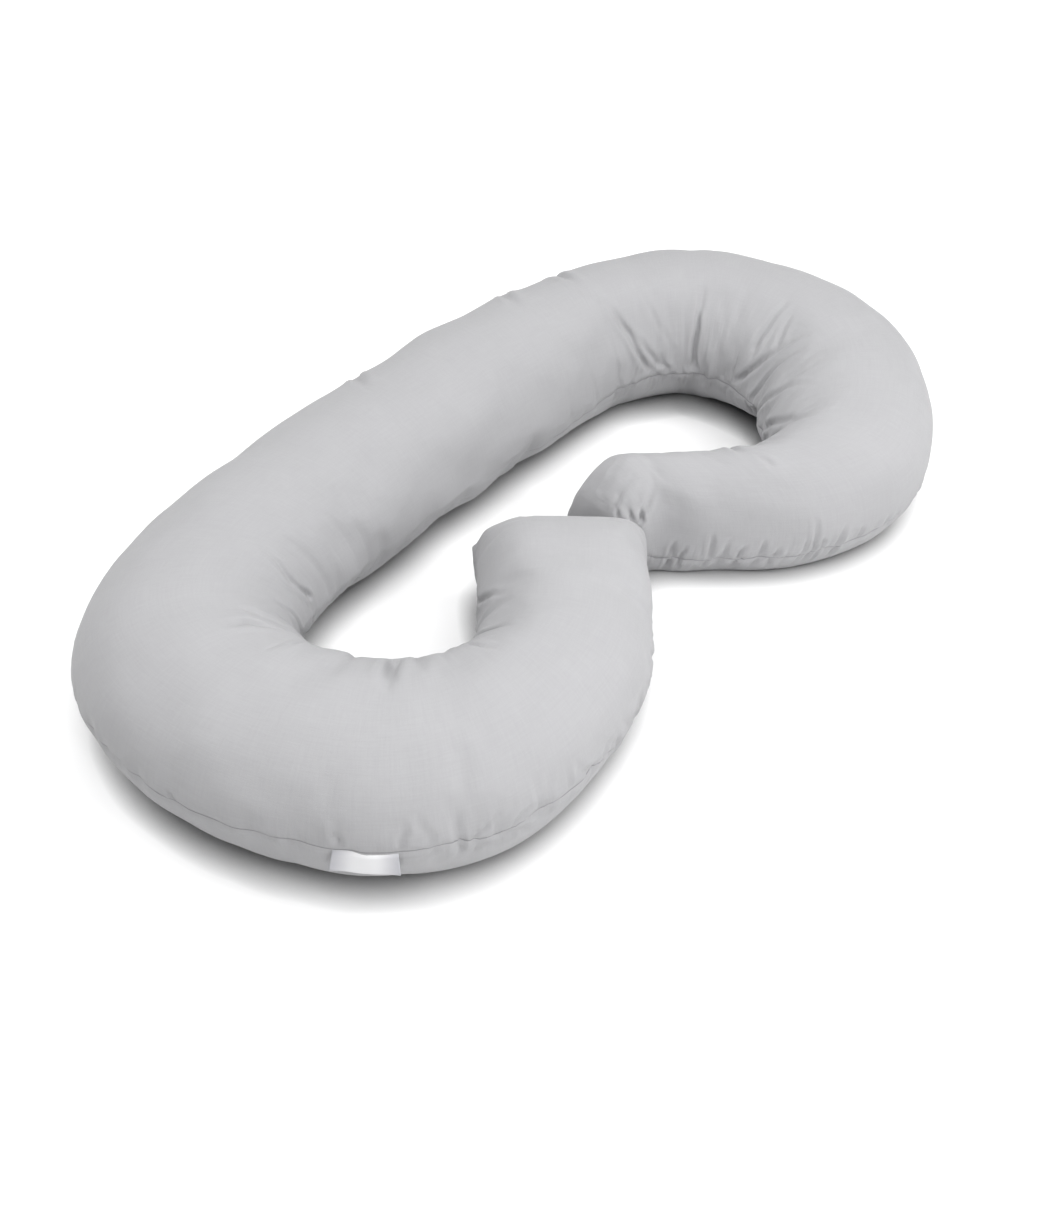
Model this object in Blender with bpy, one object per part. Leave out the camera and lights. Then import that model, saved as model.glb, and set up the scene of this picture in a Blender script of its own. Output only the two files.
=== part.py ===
"""Body pillow: a long filled tube of cloth bent into a closed C, with a blank satin tab in its seam.

The pillow lies on its back on a flat surface. +X runs along the straight back of the C, +Y points
from the two arms to the back, +Z is up, and the origin is under the middle of its box. Metres.
"""

import math
from collections import namedtuple

import bmesh
import bpy
from mathutils import Matrix, Vector

# Driving sizes
OUTER_SEAM_SHARE = 0.50  # height of the outer seam line, as a share of the section's height
INNER_SEAM_SHARE = 0.43  # the same for the inner side
TOP_FULLNESS = 2.15      # 2 is an ellipse, more is squarer
UNDER_FULLNESS = 2.3
UNDER_SINK = 0.026       # how much of the round underside the pillow's weight presses flat
ROW_SPACING = 0.0135     # along the middle of the tube
TOP_STEPS = 18           # from seam to seam over the top
UNDER_STEPS = 9          # from seam to seam under the pillow, half as many

Station = namedtuple("Station", "inner_x inner_y outer_x outer_y height")
STATIONS = (
    Station(-0.154, -0.028, 0.004, -0.195, 0.190),
    Station(-0.200, -0.076, -0.061, -0.254, 0.203),
    Station(-0.232, -0.108, -0.108, -0.292, 0.208),
    Station(-0.258, -0.128, -0.162, -0.322, 0.211),
    Station(-0.285, -0.138, -0.242, -0.346, 0.213),
    Station(-0.308, -0.135, -0.333, -0.356, 0.214),
    Station(-0.328, -0.124, -0.423, -0.342, 0.214),
    Station(-0.344, -0.105, -0.501, -0.302, 0.214),
    Station(-0.358, -0.084, -0.561, -0.244, 0.214),
    Station(-0.371, -0.058, -0.607, -0.168, 0.214),
    Station(-0.383, -0.030, -0.642, -0.082, 0.214),
    Station(-0.391, 0.002, -0.660, 0.012, 0.214),
    Station(-0.393, 0.035, -0.658, 0.103, 0.213),
    Station(-0.384, 0.064, -0.631, 0.187, 0.212),
    Station(-0.358, 0.086, -0.566, 0.257, 0.211),
    Station(-0.314, 0.101, -0.475, 0.308, 0.210),
    Station(-0.258, 0.109, -0.368, 0.339, 0.209),
    Station(-0.192, 0.113, -0.248, 0.358, 0.208),
    Station(-0.103, 0.117, -0.124, 0.368, 0.208),
    Station(0.002, 0.120, 0.002, 0.373, 0.208),
    Station(0.109, 0.124, 0.127, 0.376, 0.208),
    Station(0.206, 0.128, 0.250, 0.366, 0.207),
    Station(0.285, 0.123, 0.363, 0.343, 0.207),
    Station(0.343, 0.105, 0.465, 0.306, 0.208),
    Station(0.383, 0.077, 0.549, 0.251, 0.209),
    Station(0.405, 0.044, 0.610, 0.179, 0.210),
    Station(0.412, 0.010, 0.647, 0.094, 0.210),
    Station(0.410, -0.024, 0.663, 0.003, 0.210),
    Station(0.399, -0.060, 0.658, -0.087, 0.210),
    Station(0.380, -0.090, 0.629, -0.172, 0.208),
    Station(0.355, -0.112, 0.577, -0.240, 0.206),
    Station(0.328, -0.135, 0.510, -0.294, 0.203),
    Station(0.298, -0.149, 0.440, -0.328, 0.200),
    Station(0.268, -0.146, 0.368, -0.337, 0.195),
    Station(0.238, -0.130, 0.298, -0.318, 0.190),
    Station(0.208, -0.102, 0.234, -0.288, 0.184),
    Station(0.176, -0.072, 0.172, -0.242, 0.178),
    Station(0.141, -0.038, 0.118, -0.192, 0.172),
    Station(0.106, -0.010, 0.082, -0.146, 0.167),
)

# The seams that close the two tips, seen from above
Closing = namedtuple("Closing", "inner_x inner_y outer_x outer_y")
NEAR_CLOSING = Closing(-0.110, 0.030, 0.050, -0.141)
FAR_CLOSING = Closing(0.044, -0.010, 0.043, -0.115)
# A tip, from the last station to its closing seam: shares of the reach, the width and the crown
TipRow = namedtuple("TipRow", "reach width crown")
TIP_ROWS = (
    TipRow(0.24, 0.995, 0.965),
    TipRow(0.46, 0.990, 0.885),
    TipRow(0.66, 0.985, 0.755),
    TipRow(0.82, 0.985, 0.570),
    TipRow(0.94, 0.990, 0.340),
    TipRow(1.00, 1.000, 0.000),
)

# Folds the weight of the filling presses into the cover, each a groove along a line from its faint
# end to its deep end. A negative depth is a ridge.
Fold = namedtuple("Fold", "x y z end_x end_y end_z depth half_width")
FOLDS = (
    # Round the inside of the bend at +X
    Fold(0.290, 0.250, 0.206, 0.325, 0.181, 0.197, 0.003, 0.024),
    Fold(0.310, 0.205, 0.203, 0.338, 0.109, 0.112, 0.007, 0.022),
    Fold(0.335, 0.160, 0.185, 0.366, 0.097, 0.100, 0.004, 0.018),
    Fold(0.461, 0.105, 0.201, 0.392, 0.065, 0.102, 0.005, 0.020),
    Fold(0.500, -0.035, 0.204, 0.420, -0.030, 0.150, 0.003, 0.020),
    Fold(0.485, -0.105, 0.202, 0.407, -0.020, 0.107, 0.007, 0.022),
    Fold(0.400, -0.175, 0.192, 0.388, -0.079, 0.095, 0.006, 0.020),
    Fold(0.324, -0.192, 0.180, 0.345, -0.120, 0.105, 0.006, 0.020),
    Fold(0.207, -0.190, 0.182, 0.226, -0.125, 0.150, 0.006, 0.018),
    # Round the inside of the bend at -X
    Fold(-0.480, 0.095, 0.203, -0.415, 0.020, 0.160, 0.004, 0.022),
    Fold(-0.470, 0.020, 0.200, -0.405, 0.000, 0.150, 0.005, 0.018),
    Fold(-0.400, 0.150, 0.190, -0.352, 0.088, 0.099, 0.006, 0.020),
    Fold(-0.204, -0.135, 0.180, -0.192, -0.070, 0.105, 0.005, 0.018),
    Fold(-0.255, -0.190, 0.197, -0.262, -0.128, 0.110, 0.005, 0.018),
    Fold(-0.297, -0.215, 0.208, -0.300, -0.150, 0.150, 0.004, 0.018),
    # Across the outer seam, both sides of the tab and on to the tip of the arm at -X
    Fold(-0.560, -0.215, 0.175, -0.568, -0.231, 0.126, -0.003, 0.015),
    Fold(-0.503, -0.270, 0.175, -0.513, -0.288, 0.126, -0.003, 0.015),
    Fold(-0.455, -0.305, 0.165, -0.468, -0.318, 0.075, 0.004, 0.016),
    Fold(-0.422, -0.318, 0.160, -0.428, -0.340, 0.090, 0.004, 0.016),
    Fold(-0.333, -0.350, 0.120, -0.324, -0.350, 0.060, 0.004, 0.016),
    Fold(-0.645, -0.020, 0.140, -0.650, -0.055, 0.108, 0.004, 0.014),
    # Under the seam of the arm at +X
    Fold(0.096, -0.160, 0.100, 0.104, -0.172, 0.040, 0.004, 0.014),
    Fold(0.119, -0.188, 0.095, 0.124, -0.196, 0.040, 0.004, 0.014),
    Fold(0.180, -0.245, 0.085, 0.190, -0.253, 0.035, 0.004, 0.016),
    # Shallow hollows over the back
    Fold(0.340, 0.300, 0.180, 0.318, 0.235, 0.206, 0.003, 0.026),
    Fold(0.235, 0.315, 0.180, 0.211, 0.249, 0.207, 0.003, 0.026),
    Fold(-0.030, 0.345, 0.160, -0.073, 0.272, 0.206, 0.004, 0.030),
)

# The tab, folded over and sewn into the outer seam; places count along the stations
TAB_START = 7.32
TAB_END = 8.19
TAB_DROP = 0.034
TAB_THICK = 0.0012
TAB_GAP = 0.0006         # clear of the pillow's widest line
TAB_FLARE = 0.004        # how far its lower edge stands out from its upper edge
TAB_CURL = 0.003         # how much further its lower corners stand out
TAB_COLUMNS = 12
TAB_ROWS = 5


def clear_scene():
    for thing in list(bpy.data.objects):
        bpy.data.objects.remove(thing)


def cloth_material(name, colour, roughness):
    material = bpy.data.materials.new(name)
    material.use_nodes = True
    shader = material.node_tree.nodes["Principled BSDF"]
    shader.inputs["Base Color"].default_value = (*colour, 1.0)
    shader.inputs["Roughness"].default_value = roughness
    shader.inputs["Metallic"].default_value = 0.0
    return material


def between(before, start, end, after, t):
    """Catmull-Rom: a smooth curve from start to end, t from 0 to 1."""
    return 0.5 * (
        2 * start
        + (end - before) * t
        + (2 * before - 5 * start + 4 * end - after) * t * t
        + (3 * start - before - 3 * end + after) * t ** 3
    )


def station_at(place):
    """The section at a place between the first station, 0, and the last, len(STATIONS) - 1."""
    last = len(STATIONS) - 1
    index = min(int(place), last - 1)
    rows = [STATIONS[max(0, min(last, index + step))] for step in (-1, 0, 1, 2)]
    return Station(*(between(*values, place - index) for values in zip(*rows)))


def middle_of(section):
    return Vector((section.inner_x + section.outer_x, section.inner_y + section.outer_y)) / 2


def even_places():
    """Places along the stations that lie ROW_SPACING apart along the middle of the tube."""
    fine = 40
    places = [index / fine for index in range((len(STATIONS) - 1) * fine + 1)]
    middles = [middle_of(station_at(place)) for place in places]
    lengths = [0.0]
    for here, after in zip(middles, middles[1:]):
        lengths.append(lengths[-1] + (after - here).length)
    count = round(lengths[-1] / ROW_SPACING)
    found = []
    index = 0
    for row in range(count + 1):
        wanted = lengths[-1] * row / count
        while index < len(places) - 2 and lengths[index + 1] < wanted:
            index += 1
        share = (wanted - lengths[index]) / (lengths[index + 1] - lengths[index])
        found.append(places[index] + share / fine)
    return found


def rounded(value, fullness):
    return math.copysign(abs(value) ** (2 / fullness), value)


def ring_points(section, width=1.0, crown=1.0):
    """One section, from the inner seam over the top to the outer seam and back underneath."""
    middle = middle_of(section)
    across = Vector((section.outer_x, section.outer_y)) - middle
    points = []

    def add(side, toward_top, reach):
        share = INNER_SEAM_SHARE + (OUTER_SEAM_SHARE - INNER_SEAM_SHARE) * (1 + side) / 2
        seam_level = section.height * share
        if toward_top:
            level = (section.height - seam_level) * reach
        else:
            level = -min(seam_level, (seam_level + UNDER_SINK) * reach)
        points.append(Vector((*(middle + across * side * width), seam_level + level * crown)))

    for step in range(TOP_STEPS):
        angle = math.pi * step / TOP_STEPS
        add(-rounded(math.cos(angle), TOP_FULLNESS), True, rounded(math.sin(angle), TOP_FULLNESS))
    for step in range(UNDER_STEPS):
        angle = math.pi * step / UNDER_STEPS
        side = rounded(math.cos(angle), UNDER_FULLNESS)
        add(side, False, rounded(math.sin(angle), UNDER_FULLNESS))
    return points


def tip_rings(section, closing):
    """Rings that close a tip, ending in a straight seam across it."""
    rings = []
    for row in TIP_ROWS:
        edges = [start + (end - start) * row.reach for start, end in zip(section, closing)]
        rings.append(ring_points(Station(*edges, section.height), row.width, row.crown))
    return rings


def pillow_rings():
    sections = [station_at(place) for place in even_places()]
    near_tip = tip_rings(sections[0], NEAR_CLOSING)
    far_tip = tip_rings(sections[-1], FAR_CLOSING)
    return near_tip[::-1] + [ring_points(section) for section in sections] + far_tip


def seam_row(bm, ring):
    """The last ring of a tip, flat: its top and its underside share one row of points."""
    top = [bm.verts.new(point) for point in ring[: TOP_STEPS + 1]]
    under = [top[TOP_STEPS - 2 * step] for step in range(1, UNDER_STEPS)]
    return top, under


def fold_depth(point, normal, fold):
    """How far a fold presses this point of the surface inwards."""
    start = Vector((fold.x, fold.y, fold.z))
    line = Vector((fold.end_x, fold.end_y, fold.end_z)) - start
    along = max(0.0, min(1.0, (point - start).dot(line) / line.length_squared))
    away = point - (start + line * along)
    off_surface = away.dot(normal)
    distance = (away - normal * off_surface).length
    if abs(off_surface) > 0.05 or distance > fold.half_width:
        return 0.0
    return fold.depth * (1 - (distance / fold.half_width) ** 2) ** 2 * min(1.0, 0.2 + along)


def press_folds(bm):
    bm.normal_update()
    moves = []
    for vert in bm.verts:
        if vert.co.z > 0.0:
            depth = sum(fold_depth(vert.co, vert.normal, fold) for fold in FOLDS)
            moves.append((vert, vert.normal * depth))
    for vert, move in moves:
        vert.co -= move
        vert.co.z = max(0.0, vert.co.z)


def build_pillow():
    bm = bmesh.new()
    rings = pillow_rings()
    rows = []
    for index, ring in enumerate(rings):
        if index in (0, len(rings) - 1):
            rows.append(seam_row(bm, ring))
            continue
        points = [bm.verts.new(point) for point in ring]
        rows.append((points[: TOP_STEPS + 1], points[TOP_STEPS + 1 :]))
    for row, (here, after) in enumerate(zip(rows, rows[1:])):
        for step in range(TOP_STEPS):
            bm.faces.new((here[0][step], here[0][step + 1], after[0][step + 1], after[0][step]))
        under_here = [here[0][TOP_STEPS], *here[1], here[0][0]]
        under_after = [after[0][TOP_STEPS], *after[1], after[0][0]]
        for step in range(UNDER_STEPS):
            corners = [under_here[step], under_here[step + 1], under_after[step + 1], under_after[step]]
            if row == 0:
                corners.insert(1, here[0][TOP_STEPS - 2 * step - 1])
            if row == len(rows) - 2:
                corners.insert(3, after[0][TOP_STEPS - 2 * step - 1])
            bm.faces.new(corners)
    bmesh.ops.recalc_face_normals(bm, faces=bm.faces)
    press_folds(bm)
    return object_from(bm, "pillow", cloth_material("cover_cloth", (0.56, 0.56, 0.575), 0.9))


def tab_sheet(bm, offset):
    """A grid of points that hangs from the outer seam, at this distance from the widest line."""
    rows = []
    for row in range(TAB_ROWS + 1):
        fall = row / TAB_ROWS
        points = []
        for column in range(TAB_COLUMNS + 1):
            share = column / TAB_COLUMNS
            place = TAB_START + (TAB_END - TAB_START) * share
            here, after = station_at(place), station_at(place + 0.01)
            along = Vector((after.outer_x - here.outer_x, after.outer_y - here.outer_y)).normalized()
            outward = Vector((along.y, -along.x))
            if outward.dot(Vector((here.outer_x, here.outer_y)) - middle_of(here)) < 0:
                outward = -outward
            curl = TAB_CURL * abs(2 * share - 1) ** 3
            stand = offset + (TAB_FLARE + curl) * fall ** 2
            level = here.height * OUTER_SEAM_SHARE - TAB_DROP * fall
            place_xy = Vector((here.outer_x, here.outer_y)) + outward * stand
            points.append(bm.verts.new((*place_xy, level)))
        rows.append(points)
    return rows


def build_tab():
    bm = bmesh.new()
    back = tab_sheet(bm, TAB_GAP)
    front = tab_sheet(bm, TAB_GAP + TAB_THICK)
    for sheet in (back, front):
        for upper, lower in zip(sheet, sheet[1:]):
            for column in range(TAB_COLUMNS):
                bm.faces.new((upper[column], upper[column + 1], lower[column + 1], lower[column]))
    rims = []
    for sheet in (back, front):
        left = [row[0] for row in sheet]
        right = [row[-1] for row in sheet]
        rims.append(sheet[0] + right[1:] + sheet[-1][-2::-1] + left[-2:0:-1])
    for index in range(len(rims[0])):
        after = (index + 1) % len(rims[0])
        bm.faces.new((rims[0][index], rims[0][after], rims[1][after], rims[1][index]))
    bmesh.ops.recalc_face_normals(bm, faces=bm.faces)
    return object_from(bm, "tab", cloth_material("tab_satin", (0.80, 0.80, 0.81), 0.45))


def object_from(bm, name, material):
    mesh = bpy.data.meshes.new(name)
    bm.to_mesh(mesh)
    bm.free()
    mesh.shade_smooth()
    thing = bpy.data.objects.new(name, mesh)
    bpy.context.scene.collection.objects.link(thing)
    mesh.materials.append(material)
    return thing


def centre_on_origin(things):
    """Shifts the meshes so that the origin is under the middle of their box."""
    points = [vert.co for thing in things for vert in thing.data.vertices]
    lows = [min(point[axis] for point in points) for axis in range(3)]
    highs = [max(point[axis] for point in points) for axis in range(3)]
    shift = Vector((-(lows[0] + highs[0]) / 2, -(lows[1] + highs[1]) / 2, -lows[2]))
    for thing in things:
        thing.data.transform(Matrix.Translation(shift))


clear_scene()
centre_on_origin([build_pillow(), build_tab()])
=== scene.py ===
# %% [markdown]
# # A body pillow in cloth
#
# The object is one long tube of plain grey cotton, stuffed full and bent into a C whose two ends
# curl in until they nearly meet. A blank satin tab is caught in its seam. The solid model already
# holds its size and its place. This lesson gives it its looks: a cover that creases where it is
# bent, a seam that puckers, a woven surface, and soft daylight.

import math
from collections import namedtuple

import bmesh
import bpy
import numpy as np
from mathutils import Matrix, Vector


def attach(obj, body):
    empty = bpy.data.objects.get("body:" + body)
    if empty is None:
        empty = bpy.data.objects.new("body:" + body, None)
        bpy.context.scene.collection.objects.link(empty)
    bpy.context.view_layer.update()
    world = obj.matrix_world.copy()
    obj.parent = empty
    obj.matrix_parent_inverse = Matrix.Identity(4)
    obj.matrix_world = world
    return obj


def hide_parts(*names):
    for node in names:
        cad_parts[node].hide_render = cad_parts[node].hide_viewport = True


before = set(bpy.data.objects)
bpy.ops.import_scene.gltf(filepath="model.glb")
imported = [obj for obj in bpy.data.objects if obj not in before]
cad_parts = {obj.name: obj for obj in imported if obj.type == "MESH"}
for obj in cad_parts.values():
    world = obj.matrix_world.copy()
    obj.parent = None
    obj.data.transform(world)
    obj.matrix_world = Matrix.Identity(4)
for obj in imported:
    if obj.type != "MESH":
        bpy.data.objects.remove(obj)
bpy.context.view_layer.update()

# %% [markdown]
# ## The room
#
# The pillow lies on a white sweep under big soft lights, so its shadows are broad and pale. The
# camera comes first: its angle decides how everything else is judged. It looks down on the pillow
# from one corner, with a mild shift that centres the frame.

# %% Camera
LOOK_AT = Vector((-0.0864, -0.1336, 0.1))
AZIMUTH, ELEVATION = math.radians(-46.4), math.radians(44.8)
DISTANCE = 1.892
FRAME_WIDE, FRAME_TALL = 1050, 1224
FOCAL_PIXELS = 1437.6
MIDDLE = (565.6, 584.8)     # where the camera's axis meets the frame, in pixels from the top left

camera = bpy.data.objects.new("camera", bpy.data.cameras.new("camera"))
bpy.context.scene.collection.objects.link(camera)
back = Vector((
    math.sin(AZIMUTH) * math.cos(ELEVATION),
    -math.cos(AZIMUTH) * math.cos(ELEVATION),
    math.sin(ELEVATION),
))
camera.location = LOOK_AT + back * DISTANCE
camera.rotation_euler = back.to_track_quat("Z", "Y").to_euler()
camera.data.sensor_width = 36.0
camera.data.lens = FOCAL_PIXELS * 36.0 / FRAME_TALL
camera.data.shift_x = (FRAME_WIDE / 2 - MIDDLE[0]) / FRAME_TALL
camera.data.shift_y = (MIDDLE[1] - FRAME_TALL / 2) / FRAME_TALL
bpy.context.scene.camera = camera
print("lens", round(camera.data.lens, 1), "mm")

# %% [markdown]
# ## The shape of the tube
#
# A stuffed tube is easiest to describe by its sections. Each row of the table below gives the two
# edges of one section, seen from above, and how high it stands. The tube swells between them, its
# underside is pressed flat by its own weight, and its two ends close in a straight seam.

# %% Sections, from the tip at -X round the back to the tip at +X
# Inner edge x and y, outer edge x and y, height
STATIONS = (
    (-0.154, -0.028, -0.0028, -0.1875, 0.190),
    (-0.200, -0.076, -0.0632, -0.2517, 0.203),
    (-0.232, -0.108, -0.108, -0.292, 0.208),
    (-0.258, -0.128, -0.162, -0.322, 0.211),
    (-0.279, -0.132, -0.242, -0.346, 0.213),
    (-0.300, -0.128, -0.333, -0.356, 0.214),
    (-0.320, -0.116, -0.423, -0.342, 0.214),
    (-0.339, -0.100, -0.501, -0.302, 0.214),
    (-0.358, -0.084, -0.561, -0.244, 0.214),
    (-0.371, -0.058, -0.607, -0.168, 0.214),
    (-0.383, -0.030, -0.642, -0.082, 0.214),
    (-0.391, 0.002, -0.660, 0.012, 0.214),
    (-0.393, 0.035, -0.658, 0.103, 0.213),
    (-0.384, 0.064, -0.631, 0.187, 0.212),
    (-0.355, 0.080, -0.566, 0.257, 0.211),
    (-0.312, 0.092, -0.475, 0.308, 0.210),
    (-0.257, 0.101, -0.368, 0.339, 0.209),
    (-0.192, 0.108, -0.248, 0.358, 0.208),
    (-0.103, 0.117, -0.124, 0.368, 0.208),
    (0.002, 0.120, 0.002, 0.373, 0.208),
    (0.109, 0.124, 0.127, 0.376, 0.208),
    (0.206, 0.128, 0.250, 0.366, 0.207),
    (0.285, 0.123, 0.363, 0.343, 0.207),
    (0.343, 0.105, 0.465, 0.306, 0.208),
    (0.383, 0.077, 0.549, 0.251, 0.209),
    (0.405, 0.044, 0.610, 0.179, 0.210),
    (0.412, 0.010, 0.647, 0.094, 0.210),
    (0.410, -0.024, 0.663, 0.003, 0.210),
    (0.399, -0.060, 0.658, -0.087, 0.210),
    (0.374, -0.085, 0.629, -0.172, 0.208),
    (0.349, -0.107, 0.577, -0.240, 0.206),
    (0.324, -0.131, 0.511, -0.296, 0.203),
    (0.298, -0.149, 0.4415, -0.333, 0.200),
    (0.268, -0.146, 0.368, -0.345, 0.195),
    (0.238, -0.130, 0.292, -0.325, 0.190),
    (0.208, -0.102, 0.2295, -0.2925, 0.186),
    (0.176, -0.072, 0.172, -0.242, 0.181),
    (0.141, -0.038, 0.120, -0.188, 0.174),
    (0.106, -0.010, 0.085, -0.140, 0.168),
)
NEAR_CLOSING = (-0.107, 0.027, 0.0505, -0.1425)   # the seams that close the two tips
FAR_CLOSING = (0.040, -0.008, 0.041, -0.115)
CENTRING = (-0.0010, -0.0105)                   # puts the box of the whole on the origin

INNER_SHARE = 0.43                               # height of the widest line on the inner side
UNDER_SINK = 0.026                               # how much of the round underside is pressed flat
TIP_HEIGHTS = (0.158, 0.150)                     # how high the filling stands where a tip closes
# Inner and outer: how full each tip is, where 2 is round, and how far its corners are rounded off
NEAR_TIP, FAR_TIP = (3.0, 5.0), (2.8, 2.5)
NEAR_CORNERS, FAR_CORNERS = (0.005, 0.004), (0.002, 0.012)
NEAR_ROUNDED, FAR_ROUNDED = 0.17, 0.26           # over this share of the way to the first section
NEAR_CROWN, FAR_CROWN = (3.4, 0.45), (2.0, 0.5)  # powers: how the height falls away to the seam
BOXY_OVER = 2.4                                  # how many sections a tip's fullness reaches
EAR_OUT, EAR_UP, EAR_OVER = 0.003, 0.014, 0.016  # cloth that stands out at the near tip's corner

# Down the tube: the fullness of each quarter of the section, how far the seam lies under the
# widest line of each side, and the height of the outer one as a share of the section's
Side = namedtuple(
    "Side", "place inner_top outer_top inner_under outer_under inner_drop outer_drop outer_share"
)
SIDES = [Side(*row) for row in (
    (0, 2.00, 2.10, 2.3, 2.3, 0.000, 0.000, 0.50),
    (3, 1.85, 2.15, 2.0, 2.1, 0.000, -0.006, 0.50),
    (9, 1.95, 2.15, 1.9, 2.0, 0.000, -0.006, 0.50),
    (13, 2.00, 2.15, 1.6, 2.0, 0.010, 0.000, 0.50),
    (16, 2.15, 2.15, 1.5, 2.0, 0.040, 0.000, 0.50),
    (21, 2.15, 2.15, 1.5, 2.0, 0.040, 0.010, 0.50),
    (24, 2.00, 2.15, 1.4, 2.0, 0.006, 0.016, 0.50),
    (29, 1.90, 2.15, 1.4, 1.9, 0.000, 0.024, 0.50),
    (33, 1.95, 2.15, 1.6, 1.8, 0.000, 0.032, 0.49),
    (35, 1.95, 2.15, 1.8, 1.9, 0.000, 0.036, 0.45),
    (36, 1.95, 2.15, 1.8, 1.9, 0.000, 0.038, 0.45),
    (38, 1.95, 2.12, 2.0, 1.7, 0.000, 0.046, 0.50),
    (39, 2.00, 2.10, 2.1, 1.7, 0.000, 0.052, 0.53),
    (40, 2.10, 2.10, 2.3, 2.1, 0.000, 0.000, 0.53),
)]


# Between the tab and the near tip the seam dips further: (place, metres)
SEAM_DIPS = ((0, 0.000), (3, 0.026), (4, 0.050), (4.9, 0.039), (5.4, 0.019), (6.3, 0.012),
             (7, 0.015), (7.7, 0.002), (8.2, 0.000))


def side_values(part, places):
    """One column of the table of sides, read at these places."""
    values = [getattr(side, part) for side in SIDES]
    return np.interp(places, [side.place for side in SIDES], values)


def smooth_rows(table, places):
    """Catmull-Rom through the rows of a table."""
    table = np.array(table, float)
    index = np.clip(places.astype(int), 0, len(table) - 2)
    t = (places - index)[:, None]
    last = len(table) - 1
    before, start, end, after = (table[np.clip(index + step, 0, last)] for step in (-1, 0, 1, 2))
    return 0.5 * (
        2 * start
        + (end - before) * t
        + (2 * before - 5 * start + 4 * end - after) * t ** 2
        + (3 * start - before - 3 * end + after) * t ** 3
    )


def lengths_along(table, places):
    edges = smooth_rows(table, places)
    middles = (edges[:, 0:2] + edges[:, 2:4]) / 2
    return np.concatenate([[0], np.cumsum(np.linalg.norm(np.diff(middles, axis=0), axis=1))])


# The closing seams are the first and the last row of the whole table
table = [(*NEAR_CLOSING, TIP_HEIGHTS[0]), *STATIONS, (*FAR_CLOSING, TIP_HEIGHTS[1])]
fine = np.linspace(0, len(table) - 1, 6000)
lengths = lengths_along(table, fine)
edges = smooth_rows(table, fine)
inner_step = np.linalg.norm(np.gradient(edges[:, 0:2], axis=0), axis=1)
outer_step = np.linalg.norm(np.gradient(edges[:, 2:4], axis=0), axis=1)
bend = 1 - 2 * inner_step / (inner_step + outer_step)
bend = np.convolve(np.clip(bend, 0, 1), np.ones(301) / 301, "same")
bend *= np.clip((fine - 1.2) / 1.5, 0, 1) * np.clip((len(table) - 2.2 - fine) / 1.5, 0, 1)

ROWS = 384                      # sections of the cover that is simulated
# How close they lie, by place: closest where the cloth is gathered
DENSITY = ((0, 1.6), (8.5, 1.4), (10, 1.2), (12, 1.6), (16, 1.3), (18, 0.8), (21, 0.8),
           (23, 1.4), (33, 1.5), (35, 1.7), (40, 1.7))
density = np.interp(fine, *zip(*DENSITY))
close_in = np.interp(fine, [0, 0.6, 1.4, len(table) - 2.4, len(table) - 1.6, len(table) - 1],
                     [1.8, 1.0, 0, 0, 1.0, 1.8])
spent = np.concatenate([[0], np.cumsum((density + close_in)[1:] * np.diff(lengths))])
places = np.interp(np.linspace(0, spent[-1], ROWS), spent, fine)
rows = smooth_rows(table, places)
bends = np.interp(places, fine, bend)
last = len(table) - 1
from_tip = np.minimum(places, last - places)        # 0 at a closing seam, 1 at the first section
reach = np.clip(1 - from_tip, 0, 1)
near_end = places < last / 2
near_crown, far_crown = ((1 - reach ** first) ** then for first, then in (NEAR_CROWN, FAR_CROWN))
crowns = np.where(near_end, near_crown, far_crown)
boxy = np.clip(1 - from_tip / BOXY_OVER, 0, 1) ** 0.7
tip_inner, tip_outer = (np.where(near_end, NEAR_TIP[side], FAR_TIP[side]) for side in (0, 1))

# Round the corners of the tips, as seen from above
width = np.linalg.norm(rows[:, 2:4] - rows[:, 0:2], axis=1)
for side, sign in ((0, 1), (1, -1)):
    corner = np.where(near_end, NEAR_CORNERS[side], FAR_CORNERS[side])
    share = np.where(near_end, NEAR_ROUNDED, FAR_ROUNDED)
    turn = np.clip((reach - 1 + share) / share, 0, 1)
    drawn = corner * (1 - np.sqrt(1 - turn ** 2)) * sign
    rows[:, 2 * side:2 * side + 2] += (rows[:, 2:4] - rows[:, 0:2]) * (drawn / width)[:, None]
(inner_top, outer_top, inner_under, outer_under, inner_drop, outer_drop,
 outer_share) = (side_values(part, places) for part in Side._fields[1:])
outer_drop += np.interp(places, *zip(*SEAM_DIPS))
print("tube", round(lengths[-1], 3), "m long, tightest bend", round(float(bend.max()), 2))

# %% The skin of the tube
AROUND = 64                     # points round a section, half of them over the top
GATHER = 0.40                   # how much closer they lie along the seams


def rounded(value, fullness):
    return np.sign(value) * np.abs(value) ** (2 / fullness)


def places_around(count):
    even = np.linspace(0, 1, count + 1)
    return even - GATHER * np.sin(4 * math.pi * even) / (4 * math.pi)


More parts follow.
